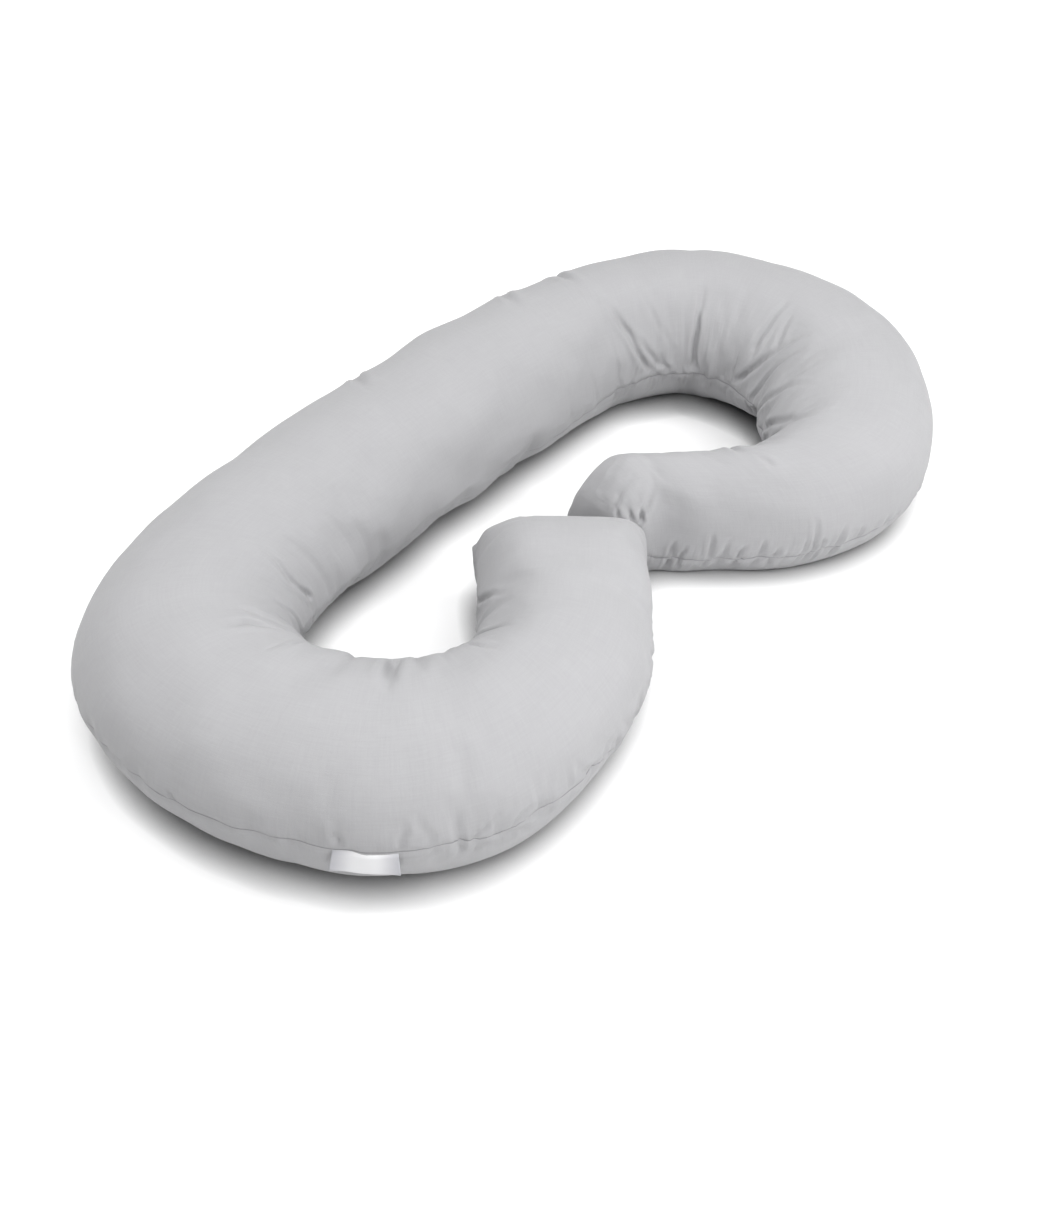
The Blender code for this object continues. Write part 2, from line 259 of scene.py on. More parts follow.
def skin_of(rows, crowns, around):
    """Points on the skin: a row for each section, a column for each place around it, 0 to 1."""
    angle = 2 * math.pi * around[None, :]
    over = (around <= 0.5)[None, :]
    closed = (crowns < 1e-6)[:, None]
    inward = np.clip(0.5 + 0.7 * np.cos(angle), 0, 1)
    top = outer_top[:, None] + (inner_top - outer_top)[:, None] * inward
    tip = tip_outer[:, None] + (tip_inner - tip_outer)[:, None] * inward
    top = top + (tip - top) * boxy[:, None]
    under = outer_under[:, None] + (inner_under - outer_under)[:, None] * inward
    under = under + (tip - under) * boxy[:, None]
    fullness = np.where(over | closed, top, under)
    side = -rounded(np.cos(angle), fullness)
    swell = rounded(np.abs(np.sin(angle)), fullness)
    share = INNER_SHARE + (outer_share[:, None] - INNER_SHARE) * (1 + side) / 2
    height = rows[:, 4:5]
    seam = height * share
    rise = np.where(over, (height - seam) * swell, -np.minimum(seam, (seam + UNDER_SINK) * swell))
    middle = (rows[:, 0:2] + rows[:, 2:4]) / 2 + np.array(CENTRING)
    across = (rows[:, 2:4] - rows[:, 0:2]) / 2
    points = np.empty((len(rows), len(around), 3))
    points[:, :, 0] = middle[:, 0:1] + across[:, 0:1] * side
    points[:, :, 1] = middle[:, 1:2] + across[:, 1:2] * side
    points[:, :, 2] = seam + rise * crowns[:, None]
    ear = points[0, 0].copy()
    from_ear = np.linalg.norm(points - ear, axis=2, keepdims=True)
    outward = np.append(-EAR_OUT * across[0] / np.linalg.norm(across[0]), EAR_UP)
    points += np.exp(-0.5 * (from_ear / EAR_OVER) ** 2) * outward
    return points


around = places_around(AROUND)
skin = skin_of(rows, crowns, around)
along = np.interp(places, fine, lengths)            # metres along the tube, for each row
steps = np.linalg.norm(np.diff(skin, axis=1), axis=2)
round_it = np.concatenate([np.zeros((ROWS, 1)), np.cumsum(steps, axis=1)], axis=1)
girths, half = round_it[:, -1:], AROUND // 2
print("skin:", skin.shape, "highest", round(float(skin[:, :, 2].max()), 4))

# %% [markdown]
# ## The cover
#
# The cover starts as one flat grid of cloth: its rows run along the tube and its columns round it.
# A grid already has its own map, so the weave can follow the cloth into every bend. Each point is
# moved to its place on the skin, and the two long edges and both ends are then welded shut.

# %% Wrap a grid of cloth into the tube
def wrap_cloth(name, skin):
    """A closed mesh from a skin; each point remembers its row and column."""
    count, around = skin.shape[0], skin.shape[1] - 1
    bm = bmesh.new()
    row_layer = bm.verts.layers.int.new("row")
    column_layer = bm.verts.layers.int.new("column")
    bm.loops.layers.uv.new("cloth")
    uv_layer = bm.loops.layers.uv["cloth"]
    bmesh.ops.create_grid(bm, x_segments=around, y_segments=count - 1, size=0.5, calc_uvs=True)
    order = sorted(bm.verts, key=lambda vert: (round((vert.co.y + 0.5) * (count - 1)), vert.co.x))
    for place, vert in enumerate(order):
        row, column = divmod(place, around + 1)
        vert.co = skin[row, column]
        vert[row_layer], vert[column_layer] = row, column
    for face in bm.faces:
        for loop in face.loops:
            row, column = loop.vert[row_layer], loop.vert[column_layer]
            loop[uv_layer].uv = (round_it[row, column] - round_it[row, half], along[row])
    bmesh.ops.remove_doubles(bm, verts=bm.verts, dist=1e-6)
    bmesh.ops.recalc_face_normals(bm, faces=bm.faces)
    mesh = bpy.data.meshes.new(name)
    bm.to_mesh(mesh)
    bm.free()
    mesh.shade_smooth()
    cover = bpy.data.objects.new(name, mesh)
    bpy.context.scene.collection.objects.link(cover)
    return cover


cover = wrap_cloth("cover", skin)
print("cover:", len(cover.data.vertices), "points", len(cover.data.polygons), "faces")

# %% Read and mark the cloth
def read_values(mesh, name, kind=float):
    values = np.zeros(len(mesh.vertices), np.int32 if kind is int else np.float64)
    mesh.attributes[name].data.foreach_get("value", values)
    return values


def read_points(mesh):
    points = np.zeros(len(mesh.vertices) * 3)
    mesh.vertices.foreach_get("co", points)
    return points.reshape(-1, 3)


def read_normals(mesh):
    normals = np.zeros(len(mesh.vertices) * 3)
    mesh.vertex_normals.foreach_get("vector", normals)
    return normals.reshape(-1, 3)


def write_points(mesh, points):
    mesh.vertices.foreach_set("co", points.ravel())
    mesh.update()


def add_group(cover, name, weights):
    group = cover.vertex_groups.new(name=name)
    for index in np.flatnonzero(weights > 0.001):
        group.add([int(index)], float(weights[index]), "REPLACE")


def blurred(values, length, spacing, passes=3):
    """Values in a row, averaged over about this length."""
    size = max(1, int(length / spacing / passes) * 2 + 1)
    kernel = np.ones(size) / size
    for _ in range(passes):
        values = np.convolve(np.pad(values, size // 2, mode="edge"), kernel, "valid")
    return values


row_of = read_values(cover.data, "row", int)
column_of = read_values(cover.data, "column", int)
base = read_points(cover.data)
resting = base[:, 2] < 1e-4
add_group(cover, "held", resting.astype(float))

# Metres from the crest inside each bend, and to the seam: more than 0 on the upper panel and less
# on the lower one, so the line itself stays sharp wherever it runs between two rows of points
from_crest = np.minimum(round_it, girths - round_it)
over_top = (round_it + inner_drop[:, None]) % girths        # metres from the inner seam, going over
top_wide = round_it[:, half:half + 1] + (outer_drop + inner_drop)[:, None]
to_seam = np.where(over_top <= top_wide, np.minimum(over_top, top_wide - over_top),
                   -np.minimum(over_top - top_wide, girths - over_top))
print("points on the floor:", int(resting.sum()), "widest girth", round(float(round_it.max()), 3))

# %% [markdown]
# ## Creases
#
# The real tube was filled first and bent after, so on the inside of each bend there is more cloth
# than room. A crease starts where the cloth already gives way, so a short table names the lines
# that give way first, each from its faint end to its deep end. The simulation makes the rest.

# %% Lines that give way first
Fold = namedtuple("Fold", "x y z end_x end_y end_z depth half_width")
FOLDS = [Fold(*row) for row in (
    (0.280, 0.262, 0.207, 0.325, 0.181, 0.197, 0.0022, 0.009),
    (0.322, 0.190, 0.200, 0.340, 0.105, 0.105, 0.0045, 0.010),
    (0.322, 0.160, 0.185, 0.364, 0.093, 0.098, 0.0030, 0.009),
    (0.380, 0.190, 0.205, 0.380, 0.100, 0.140, 0.0010, 0.008),
    (0.461, 0.105, 0.201, 0.394, 0.062, 0.100, 0.0035, 0.010),
    (0.520, -0.020, 0.204, 0.430, -0.020, 0.160, 0.0022, 0.010),
    (0.488, -0.039, 0.204, 0.430, -0.055, 0.175, 0.0020, 0.009),
    (0.480, -0.100, 0.202, 0.410, -0.010, 0.105, 0.0045, 0.010),
    (0.392, -0.170, 0.190, 0.389, -0.077, 0.093, 0.0040, 0.010),
    (0.324, -0.190, 0.178, 0.350, -0.118, 0.108, 0.0040, 0.010),
    (0.212, -0.193, 0.182, 0.216, -0.223, 0.178, 0.0018, 0.009),
    (0.207, -0.177, 0.182, 0.218, -0.140, 0.165, 0.0035, 0.010),
    (-0.430, 0.010, 0.176, -0.472, 0.041, 0.205, 0.0075, 0.012),
    (-0.412, 0.036, 0.158, -0.450, 0.064, 0.197, 0.0030, 0.010),
    (-0.411, 0.047, 0.158, -0.402, 0.042, 0.141, 0.0030, 0.006),
    (-0.440, 0.008, 0.186, -0.431, -0.013, 0.185, 0.0040, 0.006),
    (-0.372, 0.135, 0.192, -0.360, 0.100, 0.142, 0.0030, 0.008),
    (-0.361, 0.102, 0.146, -0.339, 0.096, 0.110, 0.0035, 0.007),
    (-0.452, -0.030, 0.201, -0.435, -0.030, 0.191, 0.0032, 0.006),
    (-0.487, -0.028, 0.211, -0.465, -0.022, 0.205, 0.0020, 0.007),
    (0.442, -0.100, 0.192, 0.404, -0.048, 0.093, 0.0035, 0.008),
    (0.408, -0.036, 0.088, 0.410, -0.046, 0.052, 0.0045, 0.005),
    (0.404, -0.048, 0.096, 0.402, -0.063, 0.061, 0.0045, 0.005),
    (0.399, -0.063, 0.103, 0.398, -0.074, 0.063, 0.0040, 0.005),
    (-0.206, -0.135, 0.182, -0.195, -0.072, 0.110, 0.0038, 0.008),
    (-0.253, -0.182, 0.195, -0.266, -0.145, 0.155, 0.0034, 0.008),
    (-0.295, -0.214, 0.208, -0.306, -0.172, 0.188, 0.0038, 0.007),
    (0.110, -0.060, 0.165, 0.062, -0.062, 0.120, 0.0022, 0.008),
    (0.105, -0.085, 0.160, 0.060, -0.085, 0.110, 0.0024, 0.008),
    (0.100, -0.110, 0.145, 0.064, -0.112, 0.100, 0.0022, 0.008),
    (-0.075, -0.040, 0.185, -0.045, -0.015, 0.150, 0.0020, 0.009),
    (-0.020, -0.100, 0.180, 0.010, -0.075, 0.140, 0.0020, 0.009),
    (-0.435, -0.178, 0.211, -0.375, -0.122, 0.170, 0.0050, 0.018),
    (-0.073, 0.272, 0.206, -0.036, 0.345, 0.165, 0.0045, 0.014),
    (0.211, 0.249, 0.207, 0.243, 0.322, 0.175, 0.0045, 0.014),
    (0.315, 0.227, 0.206, 0.345, 0.318, 0.175, 0.0055, 0.014),
    (-0.345, 0.095, 0.084, -0.351, 0.095, 0.063, 0.0055, 0.006),
    (0.416, -0.013, 0.064, 0.414, -0.046, 0.039, 0.0036, 0.006),
    (0.410, -0.031, 0.083, 0.405, -0.057, 0.056, 0.0036, 0.006),
    (0.403, -0.052, 0.101, 0.400, -0.063, 0.074, 0.0030, 0.006),
    (0.357, 0.108, 0.132, 0.370, 0.090, 0.095, 0.0026, 0.008),
    (-0.558, -0.229, 0.155, -0.567, -0.236, 0.120, 0.0022, 0.008),
    (-0.507, -0.282, 0.157, -0.518, -0.289, 0.117, 0.0022, 0.008),
    (-0.456, -0.317, 0.150, -0.467, -0.317, 0.073, 0.0022, 0.009),
    (-0.447, -0.331, 0.128, -0.450, -0.328, 0.078, 0.0018, 0.008),
    (-0.424, -0.334, 0.141, -0.425, -0.337, 0.098, 0.0018, 0.008),
    (-0.409, -0.345, 0.107, -0.406, -0.343, 0.075, 0.0018, 0.007),
    (-0.650, -0.033, 0.125, -0.649, -0.050, 0.113, 0.0030, 0.007),
    (0.052, -0.091, 0.130, 0.049, -0.098, 0.113, 0.0030, 0.006),
    (0.069, -0.116, 0.131, 0.066, -0.122, 0.113, 0.0032, 0.006),
    (0.060, -0.104, 0.131, 0.058, -0.110, 0.115, 0.0026, 0.006),
)]


def fold_depths(points, normals, folds):
    """How far a table of folds presses each point inwards, with a soft ridge beside each fold."""
    total = np.zeros(len(points))
    for fold in folds:
        start = np.array([fold.x + CENTRING[0], fold.y + CENTRING[1], fold.z])
        end = np.array([fold.end_x + CENTRING[0], fold.end_y + CENTRING[1], fold.end_z])
        line = end - start
        share = np.clip((points - start) @ line / (line @ line), 0, 1)
        away = points - (start + share[:, None] * line)
        off_surface = np.einsum("ij,ij->i", away, normals)
        distance = np.linalg.norm(away - normals * off_surface[:, None], axis=1)
        valley = np.exp(-(distance / (0.45 * fold.half_width)) ** 2)
        ridge = np.exp(-((distance - fold.half_width) / (0.5 * fold.half_width)) ** 2)
        near = (valley - 0.35 * ridge) * (np.abs(off_surface) < 0.05)
        total += fold.depth * near * np.minimum(1, 0.25 + 0.75 * share)
    return total


# %% Small folds across a bend start from small unevenness
SLACK_BEND, SLACK_SEAM, SLACK_TIP, SLACK_ALL = 1.0, 0.25, 0.5, 0.08   # shares of MOST_SLACK
MOST_SLACK = 0.18
BEND_REACH, SEAM_REACH = 0.17, 0.022    # metres from the crest of a bend, and from the seam
TIP_REACH = 0.8                         # sections from a tip
UNEVEN = 0.0012


def uneven(count, around, seed):
    """Soft streaks that run round the tube: quick changes along it, slow ones round it."""
    chance = np.random.default_rng(seed)
    field = chance.normal(size=(count, around))
    for _ in range(3):
        field = (field + np.roll(field, 1, axis=0)) / 2
    for _ in range(38):
        field = (np.roll(field, 1, axis=1) + 2 * field + np.roll(field, -1, axis=1)) / 4
    return np.pad(field / field.std(), ((0, 0), (0, 1)), mode="wrap")


bend_share = (bends / bend.max())[:, None]
near_inner = np.clip(1 - from_crest / BEND_REACH, 0, 1) ** 0.8
near_seam = np.exp(-(to_seam / SEAM_REACH) ** 2)
near_tip = np.clip(1 - from_tip / TIP_REACH, 0, 1)[:, None]
slack = SLACK_BEND * bend_share * near_inner + SLACK_SEAM * near_seam
slack = np.clip(slack + SLACK_TIP * near_tip + SLACK_ALL, 0, 1)
streaks = uneven(ROWS, AROUND, 5) * UNEVEN * slack
add_group(cover, "taut", np.clip(1 - slack, 0, 1)[row_of, column_of])

normals = read_normals(cover.data)
pressed = fold_depths(base, normals, FOLDS) + streaks[row_of, column_of]
seeded = base - normals * pressed[:, None]
seeded[resting] = base[resting]

# %% A cut that is longer than its place inside the bends
SPARE = 0.030                   # how far the cut's inner edge stands off from its place
cut_rows = rows.copy()
inset = SPARE * bends / bend.max()
cut_rows[:, 0:2] += (rows[:, 2:4] - rows[:, 0:2]) * (inset / width)[:, None]
cut_rows[:, 4] += 0.6 * inset
cut = skin_of(cut_rows, crowns, around)

# %% Let the filling press the cover out
import time

PRESSURE, VERTEX_MASS, BENDING, STEPS = 3.0, 0.02, 0.1, 16


def blow_up(cover, start, cut_points, steps):
    started = time.time()
    write_points(cover.data, start)
    cover.shape_key_add(name="start")
    key = cover.shape_key_add(name="cut")
    key.data.foreach_set("co", cut_points.ravel())
    key.value = 0.0
    cloth = cover.modifiers.new("cloth", "CLOTH")
    settings = cloth.settings
    settings.quality = 5
    settings.mass = VERTEX_MASS
    settings.tension_stiffness = 25
    settings.compression_stiffness = 25
    settings.shear_stiffness = 10
    settings.bending_stiffness = BENDING
    settings.use_pressure = True
    settings.uniform_pressure_force = PRESSURE
    settings.effector_weights.gravity = 0
    settings.vertex_group_mass = "held"
    settings.vertex_group_shrink = "taut"
    settings.shrink_min = -MOST_SLACK
    settings.shrink_max = 0.0
    settings.rest_shape_key = key
    cloth.point_cache.frame_start = 1
    cloth.point_cache.frame_end = steps
    for step in range(1, steps + 1):
        bpy.context.scene.frame_set(step)
    graph = bpy.context.evaluated_depsgraph_get()
    found = read_points(cover.evaluated_get(graph).data)
    cover.modifiers.remove(cloth)
    cover.shape_key_clear()
    print("blown up in", round(time.time() - started, 1), "s")
    return found


blown = blow_up(cover, seeded, cut[row_of, column_of], STEPS)
moved = np.linalg.norm(blown - base, axis=1)
print("moved: middle", np.percentile(moved, 50), "most", moved.max())

# %% [markdown]
# The cover also drifts and swells as a whole, and the pillow already has its size. So the movement
# is split: what changes slowly over the cloth is taken back, and what changes quickly is kept.

# %% Keep the creases and take back the drift
KEEP_SLOW = 0.15                # share of the slow movement that stays
SLOW_OVER = 0.030               # metres that tell slow from quick
KEEP_TAUT = 0.25                # share of the quick movement that stays where the cloth is taut
MOST_MOVED = 0.008
CALM_AT, CALM_OVER, CALM = 16.6, 1.2, 0.65   # the cloth lies smoother here, on the way to the back
LUMP_HIGH, LUMP_OVER = 0.0012, 0.020    # the filling's own soft lumps
GIRTH = 0.72                    # metres round the tube, near enough to space its columns


def index_grid(row_of, column_of):
    """Which point of the mesh stands at each row and column of the skin."""
    found = np.full((ROWS, AROUND + 1), -1)
    found[row_of, column_of] = np.arange(len(row_of))
    found[:, AROUND] = np.where(found[:, AROUND] < 0, found[:, 0], found[:, AROUND])
    found[:, 0] = np.where(found[:, 0] < 0, found[:, AROUND], found[:, 0])
    for end in (0, ROWS - 1):
        found[end] = np.where(found[end] < 0, found[end, ::-1], found[end])
    return found


def averaging(distance, over):
    weights = np.exp(-0.5 * (distance / over) ** 2)
    return weights / weights.sum(axis=1, keepdims=True)


grid = index_grid(row_of, column_of)[:, :AROUND]
gap = np.abs(along[:, None] - along[None, :])
turn = around[:AROUND]
turn_gap = np.abs(turn[:, None] - turn[None, :])
turn_gap = np.minimum(turn_gap, 1 - turn_gap) * GIRTH
by_row, by_column = averaging(gap, SLOW_OVER), averaging(turn_gap, SLOW_OVER)
change = (blown - base)[grid]
slow = np.einsum("ij,jkc,lk->ilc", by_row, change, by_column, optimize=True)
kept = change - (1 - KEEP_SLOW) * slow
kept *= KEEP_TAUT + (1 - KEEP_TAUT) * slack[:, :AROUND, None] ** 0.5
kept *= (1 - CALM * np.exp(-((places - CALM_AT) / CALM_OVER) ** 2))[:, None, None]
size = np.linalg.norm(kept, axis=2, keepdims=True)
kept *= MOST_MOVED * np.tanh(size / MOST_MOVED) / np.maximum(size, 1e-9)
settled = base.copy()
settled[grid] = base[grid] + kept
lumps = np.random.default_rng(3).normal(size=(ROWS, AROUND))
lumps = averaging(gap, LUMP_OVER) @ lumps @ averaging(turn_gap, LUMP_OVER).T
settled[grid] += LUMP_HIGH * (lumps / lumps.std())[:, :, None] * normals[grid]
settled[resting] = base[resting]
settled[:, 2] = np.maximum(settled[:, 2], 0)
print("kept: middle", np.percentile(size, 50), "99 of 100 under", np.percentile(size, 99))
write_points(cover.data, settled)

# %% Write down on each point where it lies on the cloth
def note(mesh, name, values):
    mesh.attributes.new(name, "FLOAT", "POINT").data.foreach_set("value", values)


# to_seam and bent also mask the painted shade along the seam and inside the bends
from_end = np.minimum(along, along[-1] - along)[:, None] + 0 * round_it
bent = bend_share * near_inner
for name, values in (("to_seam", to_seam), ("from_end", from_end), ("bent", bent)):
    note(cover.data, name, values[row_of, column_of])

# %% One subdivision, made part of the mesh
def subdivide_once(piece):
    smooth = piece.modifiers.new("smooth", "SUBSURF")
    smooth.levels = smooth.render_levels = 1
    graph = bpy.context.evaluated_depsgraph_get()
    mesh = bpy.data.meshes.new_from_object(piece.evaluated_get(graph))
    piece.modifiers.remove(smooth)
    piece.vertex_groups.clear()
    piece.data = mesh


subdivide_once(cover)
triangles = sum(len(face.vertices) - 2 for face in cover.data.polygons)
print("cover:", len(cover.data.vertices), "points", triangles, "triangles")

# %% [markdown]
# ## Sharp folds, puckers and the seam
#
# A fold in thin cotton is far narrower than the cloth grid of the simulation, so the sharp lines
# come after it. Each is a path over the skin that presses a narrow valley into it and raises a
# little ridge on each side. The long ones follow the same table as before. The short ones are
# scattered where the real cover gathers: inside the bends, along the seam, and at the two tips.

# %% Paths over the skin
from mathutils.kdtree import KDTree


def tree_of(points):
    tree = KDTree(len(points))
    for index, point in enumerate(points):
        tree.insert(point, index)
    tree.balance()
    return tree


def path_by_line(tree, fold, count=9):
    """The line from a fold's start to its end, laid onto the skin."""
    start = np.array([fold.x + CENTRING[0], fold.y + CENTRING[1], fold.z])
    end = np.array([fold.end_x + CENTRING[0], fold.end_y + CENTRING[1], fold.end_z])
    shares = np.linspace(0, 1, count)[:, None]
    return np.array([tree.find(point)[0] for point in start + (end - start) * shares])


def column_at(row, side, above):
    """The column this many metres above the widest line of one side; less than 0 is below it."""
    here = round_it[int(np.clip(round(row), 0, ROWS - 1))]
    wanted = here[half] - above if side == "outer" else above % here[-1]
    return float(np.interp(wanted, here, np.arange(AROUND + 1)))


def path_by_places(tree, side, row, above, end_row, end_above, count=8):
    """A path between two places of the skin, given by row and metres above the widest line."""
    found = []
    for share in np.linspace(0, 1, count):
        at_row = np.clip(row + (end_row - row) * share, 0, ROWS - 1)
        column = column_at(at_row, side, above + (end_above - above) * share)
        low, left = min(int(at_row), ROWS - 2), min(int(column), AROUND - 1)
        near = skin[low, left] + (skin[low, left + 1] - skin[low, left]) * (column - left)
        after = low + 1
        far = skin[after, left] + (skin[after, left + 1] - skin[after, left]) * (column - left)
        found.append(tree.find(near + (far - near) * (at_row - low))[0])
    return np.array(found)


def crease_depth(points, normals, path, depth, half_width, fade_in, fade_out):
    """(which points, how deep) for one crease along a path."""
    low, high = path.min(axis=0) - 3 * half_width, path.max(axis=0) + 3 * half_width
    which = np.flatnonzero(np.all((points > low) & (points < high), axis=1))
    best, share = np.full(len(which), 9.0), np.zeros(len(which))
    legs = len(path) - 1
    for leg in range(legs):
        line = path[leg + 1] - path[leg]
        along_leg = np.clip((points[which] - path[leg]) @ line / max(line @ line, 1e-12), 0, 1)
        away = points[which] - (path[leg] + along_leg[:, None] * line)
        off = np.einsum("ij,ij->i", away, normals[which])
        flat = np.linalg.norm(away - normals[which] * off[:, None], axis=1) + np.abs(off) * 0.3
        nearer = flat < best
        best[nearer] = flat[nearer]
        share[nearer] = (leg + along_leg[nearer]) / legs
    valley = np.exp(-(best / (0.5 * half_width)) ** 2)
    ridge = np.exp(-((best - 1.15 * half_width) / (0.55 * half_width)) ** 2)
    strength = np.clip(share / fade_in, 0, 1) * np.clip((1 - share) / fade_out, 0, 1)
    return which, depth * strength * (valley - 0.4 * ridge)


# %% The long folds of the table, then the scattered small ones
Scatter = namedtuple("Scatter", "seed side count first last reach spread slant depth half_width")
SCATTERS = [Scatter(*row) for row in (
    (11, "inner", 20, 22.0, 33.5, 0.105, 0.060, 3.0, 0.0018, 0.0040),  # over the far bend
    (12, "inner", 14, 22.0, 33.5, -0.045, 0.015, 1.5, 0.0022, 0.0045),  # under its crest
    (13, "inner", 16, 2.5, 8.0, 0.060, 0.030, 2.0, 0.0016, 0.0040),    # inside the near bend
    (14, "inner", 10, 10.5, 15.0, 0.085, 0.045, 3.0, 0.0018, 0.0042),  # inside the corner
    (15, "outer", 26, 1.2, 8.0, 0.040, 0.022, 2.0, 0.0026, 0.0062),    # front, above the seam
    (15, "outer", 26, 1.2, 8.0, -0.024, 0.010, 2.0, 0.0022, 0.0062),   # and on below it
    (17, "outer", 16, 35.2, 39.0, 0.042, 0.028, 0.4, 0.0040, 0.0056),  # far arm, above
    (17, "outer", 16, 35.2, 39.0, -0.030, 0.008, 0.4, 0.0042, 0.0056),  # and on below it
    (23, "outer", 12, 31.5, 35.2, 0.026, 0.014, 0.3, 0.0020, 0.0052),  # far bend, above
    (19, "outer", 40, 8.0, 32.0, 0.035, 0.020, 1.0, 0.0010, 0.0050),   # the long outer seam
    (20, "outer", 30, 8.0, 32.0, -0.030, 0.015, 1.0, 0.0010, 0.0050),
    (21, "inner", 20, 16.0, 23.0, 0.040, 0.025, 1.5, 0.0011, 0.0045),  # the back's inner seam
    (22, "inner", 12, 34.0, 38.5, 0.060, 0.035, 1.5, 0.0014, 0.0042),  # far arm, inner seam
)]


def scattered(tree, scatter):
    """Paths that start at the seam and run away from it, unevenly spaced."""
    chance = np.random.default_rng(scatter.seed)
    starts = scatter.first + (scatter.last - scatter.first) * (
        np.arange(scatter.count) + chance.uniform(-0.45, 0.45, scatter.count)) / scatter.count
    for place in starts:
        row = float(np.interp(place, places, np.arange(ROWS)))
        drop = inner_drop if scatter.side == "inner" else outer_drop
        seam_at = -float(np.interp(place, places, drop))
        reach = scatter.reach + chance.uniform(-1, 1) * scatter.spread
        begin = seam_at + np.sign(scatter.reach) * chance.uniform(0, 0.005)
        slant = chance.normal() * scatter.slant
        strength = chance.uniform(0.35, 1.3)
        path = path_by_places(tree, scatter.side, row + slant, begin + reach, row, begin)
        yield path, scatter.depth * strength, scatter.half_width * chance.uniform(0.75, 1.35)


SHARP_DEPTH, SHARP_WIDTH = 1.15, 0.75   # of the table's depths and half widths
points = read_points(cover.data)
normals = read_normals(cover.data)
tree = tree_of(points)
pressed = np.zeros(len(points))
for fold in FOLDS:
    which, depth = crease_depth(points, normals, path_by_line(tree, fold), fold.depth * SHARP_DEPTH,
                                fold.half_width * SHARP_WIDTH, 0.6, 0.08)
    pressed[which] += depth
count = 0
for scatter in SCATTERS:
    for path, depth, half_width in scattered(tree, scatter):
        which, depths = crease_depth(points, normals, path, depth, half_width, 0.5, 0.12)
        pressed[which] += depths
        count += 1
print(len(FOLDS), "long folds and", count, "small ones")

# %% The seam draws both panels in
SEAM_DEPTH, SEAM_HALF = 0.0013, 0.0036
PUFF, PUFF_AT, PUFF_OVER = 0.0004, 0.010, 0.006     # the cloth swells again beside the seam
MOST_RAISED, MOST_PRESSED = 0.0015, 0.0075
CORNER_OVER, CORNER_CALM = 0.020, 0.75   # where the two seams meet, the cloth has no room for folds
off_seam = np.abs(read_values(cover.data, "to_seam"))
off_seam = np.minimum(off_seam, read_values(cover.data, "from_end"))
groove = SEAM_DEPTH * np.exp(-(off_seam / SEAM_HALF) ** 2)
groove -= PUFF * np.exp(-((off_seam - PUFF_AT) / PUFF_OVER) ** 2)
pressed = np.clip(pressed, -MOST_RAISED, MOST_PRESSED) + groove
for corner in (skin[0, 0], skin[0, half], skin[-1, 0], skin[-1, half]):
    from_corner = np.linalg.norm(points - corner, axis=1)
    pressed *= 1 - CORNER_CALM * np.exp(-(from_corner / CORNER_OVER) ** 2)
flat = points[:, 2] < 1e-4
finished = points - normals * (pressed * ~flat)[:, None]
finished[:, 2] = np.where(flat, 0, np.maximum(finished[:, 2], 0.0))
write_points(cover.data, finished)
print("deepest fold", round(1000 * float(pressed.max()), 1), "mm")

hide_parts("pillow")
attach(cover, "root")

# %% [markdown]
# ## The tab
#
# A woven satin tab is a short ribbon folded in half, with both ends caught in the seam. It starts
# as a flat grid. Half of it becomes the back layer and half the front, with a tight roll between
# them at the lower edge, and its two free sides lift a little, as cut ribbon does. It is blank.

# %% Fold the ribbon and hang it from the seam
TAB_PLACES = (8.32, 9.19)       # from where to where along the table of sections
TAB_DROP = 0.0310
TAB_RAISED = 0.0052             # the seam runs this far above the widest line here
TAB_THICK = 0.0003
TAB_LOOP = 0.0011               # between the two layers
TAB_LIFT, TAB_CURL = 0.0025, 0.0034
TAB_FLARE = 0.0055              # how far its lower corner leans out at the left
TAB_ACROSS, TAB_DOWN = 48, 44
PROUD_AT = (0.004, 0.010, 0.016)    # metres under the widest line where the cover is measured


def outer_line(place):
    """(point on the widest line, the way along it, the way out of it, the seam's height)."""
    here, after = smooth_rows(table, np.array([place, place + 0.01]))
    way = after[2:4] - here[2:4]
    way /= np.linalg.norm(way)
    out = np.array([way[1], -way[0]])
    if out @ (here[2:4] - here[0:2]) < 0:
        out = -out
    return here[2:4] + np.array(CENTRING), way, out, here[4] * side_values("outer_share", place)


def proud_of_line(point, way, out, level):
    """How far the cover stands out from the widest line beside one point of the tab."""
    offset = finished[:, :2] - point
    beside = (np.abs(offset @ way) < 0.004) & (np.abs(finished[:, 2] - level) < 0.006)
    beside &= np.abs(offset @ out) < 0.05
    return float((offset[beside] @ out).max())


def tab_line(across):
    return outer_line(TAB_PLACES[0] + (TAB_PLACES[1] - TAB_PLACES[0]) * across)


shares = np.linspace(0, 1, TAB_ACROSS + 1)
proud = []
for share in shares:
    point, way, out, level = tab_line(share)
    levels = (level - drop for drop in PROUD_AT)
    proud.append(max(proud_of_line(point, way, out, level) for level in levels))
proud = blurred(np.array(proud), 0.25, 1 / TAB_ACROSS)      # too stiff to follow a pucker

